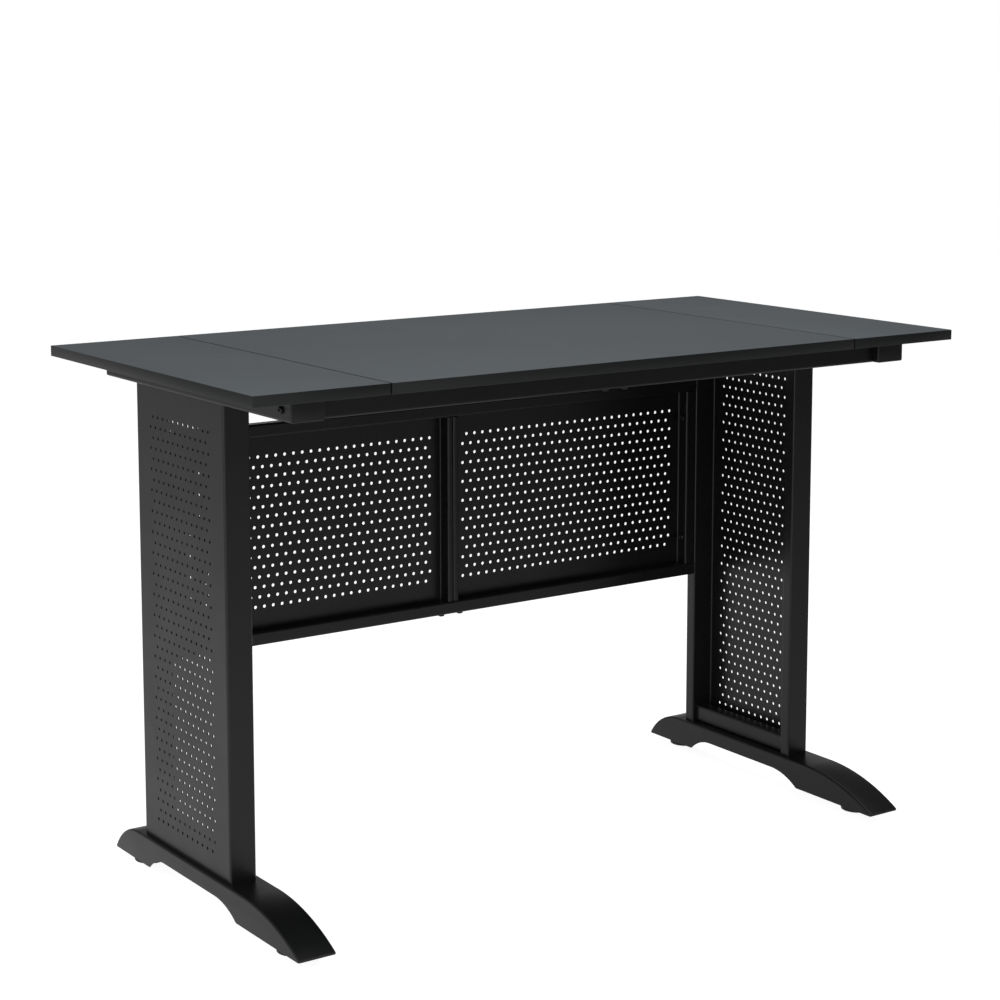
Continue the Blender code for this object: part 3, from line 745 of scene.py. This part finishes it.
def boltTree():
    inputs = {"Head": "Object", "Shank": "Object", "Finish": "Material"}
    tree, identifiers, given = newTree("socket bolts", inputs)
    facing = treeNode(tree, "GeometryNodeInputNamedAttribute", {"Name": "facing"}, data_type="FLOAT_VECTOR")
    turned = treeNode(tree, "FunctionNodeAlignRotationToVector",
                      {"Vector": facing.outputs["Attribute"]}, axis="Z")
    spin = treeNode(tree, "FunctionNodeRandomValue", {
        2: 0, 3: math.tau,  # the least and the most of a plain number
        "Seed": buttonBolt["spinSeed"],
    }, data_type="FLOAT")
    twist = treeNode(tree, "FunctionNodeAxisAngleToRotation", {"Axis": (0, 0, 1), "Angle": spin.outputs[1]})
    rotation = treeNode(tree, "FunctionNodeRotateRotation",
                        {"Rotation": turned.outputs["Rotation"], "Rotate By": twist.outputs["Rotation"]},
                        rotation_space="LOCAL")
    reach = treeNode(tree, "GeometryNodeInputNamedAttribute", {"Name": "reach"}, data_type="FLOAT")
    stretch = treeNode(tree, "ShaderNodeCombineXYZ", {"X": 1, "Y": 1, "Z": reach.outputs["Attribute"]})
    placed = []
    for label, scale in (("Head", (1, 1, 1)), ("Shank", stretch.outputs["Vector"])):
        shape = treeNode(tree, "GeometryNodeObjectInfo", {"Object": given[label]})
        copies = treeNode(tree, "GeometryNodeInstanceOnPoints", {
            "Points": given["Geometry"], "Instance": shape.outputs["Geometry"],
            "Rotation": rotation.outputs["Rotation"], "Scale": scale,
        })
        placed.append(copies.outputs["Instances"])
    closeTree(tree, joinGeometry(tree, *placed), given["Finish"])
    return tree, identifiers


def headDirection(node):
    # the way a bolt's head looks: out of the side bar, in from the modesty panel's end, else down
    if node.endswith("_rail_bolt"):
        return Vector((sides[node.split("_")[0]], 0, 0))
    if node.startswith("modesty") and "joiner" not in node:
        return Vector((-sides[node.split("_")[1]], 0, 0))
    return Vector((0, 0, -1))


def setBolts():
    nodes = [name for name in frame["nodes"] if "_bolt" in name]
    seats, facings, reaches = [], [], []
    for node in nodes:
        low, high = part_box(node)
        way = headDirection(node)
        length = abs((high - low).dot(way))
        seats.append((low + high) / 2 + way * (length / 2 - buttonBolt["headHeight"]))
        facings.extend(way)
        reaches.append(length - buttonBolt["headHeight"])
    base = bpy.data.meshes.new("boltSeats")
    base.from_pydata(seats, [], [])
    base.attributes.new("facing", "FLOAT_VECTOR", "POINT").data.foreach_set("vector", facings)
    base.attributes.new("reach", "FLOAT", "POINT").data.foreach_set("value", reaches)
    shapes = {}
    for label, mesh in (("Head", buttonHead()), ("Shank", boltShank())):
        shapes[label] = bpy.data.objects.new(mesh.name, mesh)
        bpy.context.scene.collection.objects.link(shapes[label])
    mesh = runTree("deskBolts", boltTree(), {**shapes, "Finish": blackenedSteel}, base)
    for shape in shapes.values():
        bpy.data.objects.remove(shape, do_unlink=True)
    mesh.set_sharp_from_angle(angle=smoothAngle)
    addPiece("deskBolts", mesh, "black_bolt", "desk", *nodes)
    return len(nodes)


print("bolts set:", setBolts())


# plugs in the ends of the side bars

plugShape = {
    "flange": 0.002, "wall": 0.0018, "corner": 0.003, "leastCorner": 0.0008, "cornerSteps": 5,
    "rim": 0.0019, "rimSteps": 5,
}


def roundedLoop(width, height, corner, level):
    loop = []
    for quarter, (wayX, wayZ) in enumerate(((1, 1), (-1, 1), (-1, -1), (1, -1))):
        for step in range(plugShape["cornerSteps"] + 1):
            angle = quarterTurn * (quarter + step / plugShape["cornerSteps"])
            loop.append((wayX * (width / 2 - corner) + corner * math.cos(angle), level,
                         wayZ * (height / 2 - corner) + corner * math.sin(angle)))
    return loop


def barPlug(side, end):
    node = side + "_" + end + "_bar_plug"
    low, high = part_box(node)
    size = high - low
    middle = (low + high) / 2
    way = ends[end]
    face = size.y / 2
    flange, rim, wall, corner = (plugShape[key] for key in ("flange", "rim", "wall", "corner"))
    inside = (size.x - 2 * wall, size.z - 2 * wall, corner / 2)
    loops = [roundedLoop(*inside, -face), roundedLoop(*inside, face - flange),
             roundedLoop(size.x, size.z, corner, face - flange)]
    for across, along in quarterArc(plugShape["rimSteps"]):
        inset = rim * (1 - across)
        softened = max(corner - inset, plugShape["leastCorner"])
        level = face - rim + rim * along
        loops.append(roundedLoop(size.x - 2 * inset, size.z - 2 * inset, softened, level))
    bm = bmesh.new()
    skinLoops(bm, [[(middle.x + x, middle.y + way * y, middle.z + z) for x, y, z in loop] for loop in loops])
    name = side + end.capitalize() + "BarPlug"
    addPiece(name, finishMesh(name, bm), "black_plastic", "desk", node)


for side in sides:
    for end in ends:
        barPlug(side, end)
print("bar plugs softened")


# arched feet

footShape = {
    "wall": 0.002, "fillet": 0.003, "filletSteps": 6, "arcSteps": 36,
    "toeRadius": 0.3065, "toeEdge": 0.0032, "heelRadius": 0.0855, "heelEdge": 0.0025,
    "toePad": 0.170, "heelPad": 0.110,
    "archHeight": 0.0195, "archToeRadius": 0.105, "archHeelRadius": 0.070,
    "nutPlateRise": 0.004, "nutPlateThickness": 0.003, "nutPlateLength": 0.044,
    "stemBore": 0.0086, "boreSides": 32,
}


def arcPoints(middleY, middleZ, radius, fromY, toY):
    start = math.asin((fromY - middleY) / radius)
    stop = math.asin((toY - middleY) / radius)
    steps = footShape["arcSteps"]
    angles = [start + (stop - start) * step / steps for step in range(steps + 1)]
    return [(middleY + radius * math.sin(angle), middleZ + radius * math.cos(angle)) for angle in angles]


def runOfArc(radius, drop):
    return math.sqrt(2 * radius * drop - drop ** 2)


def footUpper(toe, heel, height, inset):
    # from the heel over the top to the toe
    heelRadius, toeRadius = footShape["heelRadius"], footShape["toeRadius"]
    heelStart = heel - runOfArc(heelRadius, height - footShape["heelEdge"])
    toeStart = toe + runOfArc(toeRadius, height - footShape["toeEdge"])
    heelArc = arcPoints(heelStart, height - heelRadius, heelRadius - inset, heel - inset, heelStart)
    toeArc = arcPoints(toeStart, height - toeRadius, toeRadius - inset, toeStart, toe + inset)
    return heelArc + toeArc


def footLower(toe, heel, inset):
    # from the toe under the arch to the heel
    rise = footShape["archHeight"]
    toeRadius, heelRadius = footShape["archToeRadius"], footShape["archHeelRadius"]
    toeFoot, heelFoot = toe + footShape["toePad"], heel - footShape["heelPad"]
    toeTop = toeFoot + runOfArc(toeRadius, rise)
    heelTop = heelFoot - runOfArc(heelRadius, rise)
    toeSide = arcPoints(toeTop, rise - toeRadius, toeRadius, toeFoot, toeTop)
    heelSide = arcPoints(heelTop, rise - heelRadius, heelRadius, heelTop, heelFoot)
    return [(toe + inset, 0)] + toeSide + heelSide + [(heel - inset, 0)]


def cutOut(target, tool):
    cut = target.modifiers.new("hollow", "BOOLEAN")
    cut.operation = "DIFFERENCE"
    cut.object = tool
    bpy.context.view_layer.update()
    graph = bpy.context.evaluated_depsgraph_get()
    return bpy.data.meshes.new_from_object(target.evaluated_get(graph))


def drilledPlate(bm, middle, width):
    # nut plate: flat, with a round hole for the stem
    count = footShape["boreSides"]
    length = footShape["nutPlateLength"]
    square = []
    for x, y, _ in circleLoop(1, 0, count):
        grow = 1 / max(abs(x), abs(y))
        square.append((middle[0] + x * grow * width / 2, middle[1] + y * grow * length / 2))
    hole = [(middle[0] + x, middle[1] + y) for x, y, _ in circleLoop(footShape["stemBore"] / 2, 0, count)]
    bottom, top = middle[2], middle[2] + footShape["nutPlateThickness"]
    loops = [[(x, y, level) for x, y in ring]
             for ring, level in ((square, top), (square, bottom), (hole, bottom), (hole, top))]
    skinLoops(bm, loops, closed=True)


def archedFoot(side):
    node = side + "_foot"
    low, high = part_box(node)
    middleX = (low.x + high.x) / 2
    half = (high.x - low.x) / 2
    height = high.z - low.z
    fillet, wall = footShape["fillet"], footShape["wall"]
    edges = []
    for across, along in quarterArc(footShape["filletSteps"]):
        edges.append((half - fillet * (1 - across), fillet * (1 - along)))
    stations = [(-x, inset) for x, inset in edges] + edges[::-1]
    loops = []
    for x, inset in stations:
        outline = footUpper(low.y, high.y, height, inset) + footLower(low.y, high.y, inset)
        loops.append([(middleX + x, y, low.z + z) for y, z in outline])
    bm = bmesh.new()
    skinLoops(bm, loops)
    shell = bpy.data.objects.new(side + "FootShell", finishMesh(side + "FootShell", bm))

    upper = footUpper(low.y, high.y, height, wall)
    outline = upper + [(upper[-1][0], -height), (upper[0][0], -height)]  # open below
    inner = half - wall
    bm = bmesh.new()
    skinLoops(bm, [[(middleX + x, y, low.z + z) for y, z in outline] for x in (-inner, inner)])
    hollow = bpy.data.objects.new(side + "FootHollow", finishMesh(side + "FootHollow", bm))
    for item in (shell, hollow):
        bpy.context.scene.collection.objects.link(item)
    channel = cutOut(shell, hollow)
    for item in (shell, hollow):
        bpy.data.objects.remove(item, do_unlink=True)

    bm = bmesh.new()
    bm.from_mesh(channel)
    for end in ends:
        glideLow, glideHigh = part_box(side + "_" + end + "_glide")
        middle = (glideLow + glideHigh) / 2
        drilledPlate(bm, (middle.x, middle.y, low.z + footShape["nutPlateRise"]), 2 * half - wall)
    addPiece(side + "ArchedFoot", finishMesh(side + "ArchedFoot", bm), "powder_coat", "desk", node)


for side in sides:
    archedFoot(side)
print("feet shaped")


# levelling glides

glideShape = {
    "sides": 48, "padRound": 0.0014, "roundSteps": 4, "padGap": 0.001,
    "soleHollow": 0.0003, "hollowShare": 0.8, "soleShare": 0.82,   # shares of the pad's radius
    "dish": 0.0006, "dishRimShare": 0.80, "dishFloorShare": 0.74,
    "boss": 0.0170, "bossFlare": 0.0012, "bossChamfer": 0.0006, "bossInset": 0.0003, "bossGap": 0.0003,
    "stem": 0.008, "stemRoot": 0.001, "coreSides": 24,
    "threadPitch": 0.00125, "threadDepth": 0.00055, "threadSteps": 20, "ridgeSides": 6,
    "runIn": 1.5,   # plain rod at each end of the thread, in thread depths
}


def glidePad(name, low, high, padTop, bossTop):
    radius = (high.x - low.x) / 2
    count = glideShape["sides"]
    rounding = glideShape["padRound"]
    flank = radius - rounding
    arc = quarterArc(glideShape["roundSteps"])
    rings = [(radius * glideShape["hollowShare"], low.z + glideShape["soleHollow"])]
    rings.append((radius * glideShape["soleShare"], low.z))
    rings += [(flank + rounding * along, low.z + rounding - rounding * across) for across, along in arc]
    rings += [(flank + rounding * across, padTop - rounding + rounding * along) for across, along in arc]
    dishFloor = padTop - glideShape["dish"]
    rings.append((radius * glideShape["dishRimShare"], padTop))
    rings.append((radius * glideShape["dishFloorShare"], dishFloor))
    loops = [circleLoop(reach, level, count) for reach, level in rings]
    flats = glideShape["boss"]
    loops.append(hexLoop(flats + glideShape["bossFlare"], dishFloor, count))
    loops.append(hexLoop(flats, padTop, count))
    loops.append(hexLoop(flats, bossTop - glideShape["bossChamfer"], count))
    loops.append(circleLoop(flats / 2 - glideShape["bossInset"], bossTop, count))
    bm = bmesh.new()
    skinLoops(bm, loops)
    middle = (low + high) / 2
    bmesh.ops.translate(bm, verts=bm.verts, vec=(middle.x, middle.y, 0))
    return finishMesh(name, bm)


def stemTree():
    # threaded rod: a core and a ridge that runs round it
    tree, identifiers, given = newTree("threaded stem", {
        "Radius": "Float", "Length": "Float", "Pitch": "Float", "Ridge": "Float", "Steps": "Int",
        "Finish": "Material",
    })
    coreRadius = treeMath(tree, "SUBTRACT", given["Radius"], given["Ridge"])
    core = treeNode(tree, "GeometryNodeMeshCylinder",
                    {"Vertices": glideShape["coreSides"], "Radius": coreRadius, "Depth": given["Length"]},
                    fill_type="NGON")
    lift = treeNode(tree, "ShaderNodeCombineXYZ", {"Z": treeMath(tree, "MULTIPLY", given["Length"], 0.5)})
    stood = treeNode(tree, "GeometryNodeTransform",
                     {"Geometry": core.outputs["Mesh"], "Translation": lift.outputs["Vector"]})
    bothRunIns = treeMath(tree, "MULTIPLY", given["Ridge"], 2 * glideShape["runIn"])
    threaded = treeMath(tree, "SUBTRACT", given["Length"], bothRunIns)
    spiral = treeNode(tree, "GeometryNodeCurveSpiral", {
        "Resolution": given["Steps"], "Rotations": treeMath(tree, "DIVIDE", threaded, given["Pitch"]),
        "Start Radius": coreRadius, "End Radius": coreRadius, "Height": threaded,
    })
    runIn = treeMath(tree, "MULTIPLY", given["Ridge"], glideShape["runIn"])
    start = treeNode(tree, "ShaderNodeCombineXYZ", {"Z": runIn})
    raised = treeNode(tree, "GeometryNodeTransform",
                      {"Geometry": spiral.outputs["Curve"], "Translation": start.outputs["Vector"]})
    section = treeNode(tree, "GeometryNodeCurvePrimitiveCircle",
                       {"Resolution": glideShape["ridgeSides"], "Radius": given["Ridge"]})
    ridge = treeNode(tree, "GeometryNodeCurveToMesh", {
        "Curve": raised.outputs["Geometry"], "Profile Curve": section.outputs["Curve"], "Fill Caps": True,
    })
    rod = joinGeometry(tree, stood.outputs["Geometry"], ridge.outputs["Mesh"])
    closeTree(tree, rod, given["Finish"])
    return tree, identifiers


def levellingGlide(side, end):
    node = side + "_" + end + "_glide"
    low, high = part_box(node)
    footLow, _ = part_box(side + "_foot")
    padTop = footLow.z - glideShape["padGap"]
    bossTop = footLow.z + footShape["nutPlateRise"] - glideShape["bossGap"]
    name = side + end.capitalize() + "Glide"
    addPiece(name + "Pad", glidePad(name + "Pad", low, high, padTop, bossTop), "black_plastic", node, node)
    root = glideShape["stemRoot"]  # how deep the stem stands in the boss
    stem = runTree(name + "Stem", stemMaker, {
        "Radius": glideShape["stem"] / 2, "Length": high.z - bossTop + root,
        "Pitch": glideShape["threadPitch"], "Ridge": glideShape["threadDepth"],
        "Steps": glideShape["threadSteps"], "Finish": blackenedSteel,
    })
    middle = (low + high) / 2
    stem.transform(Matrix.Translation((middle.x, middle.y, bossTop - root)))
    stem.shade_smooth()
    stem.set_sharp_from_angle(angle=smoothAngle)
    addPiece(name + "Stem", stem, "black_bolt", node)


stemMaker = stemTree()
for side in sides:
    for end in ends:
        levellingGlide(side, end)
print("glides turned")


# top boards

boardShape = {"round": 0.0005, "roundSteps": 2, "roundProfile": 0.5}


def topBoard(name, node):
    low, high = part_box(node)
    bm = bmesh.new()
    bmesh.ops.create_cube(bm, size=1)
    bmesh.ops.scale(bm, vec=high - low, verts=bm.verts)
    bmesh.ops.translate(bm, vec=(low + high) / 2, verts=bm.verts)
    bmesh.ops.bevel(bm, geom=bm.edges[:], offset=boardShape["round"], segments=boardShape["roundSteps"],
                    profile=boardShape["roundProfile"], affect="EDGES")
    addPiece(name, finishMesh(name, bm), "laminate_top", "desk", node)


for place in ("left", "centre", "right"):
    topBoard(place + "TopBoard", "top_" + place + "_board")
print("boards edged")
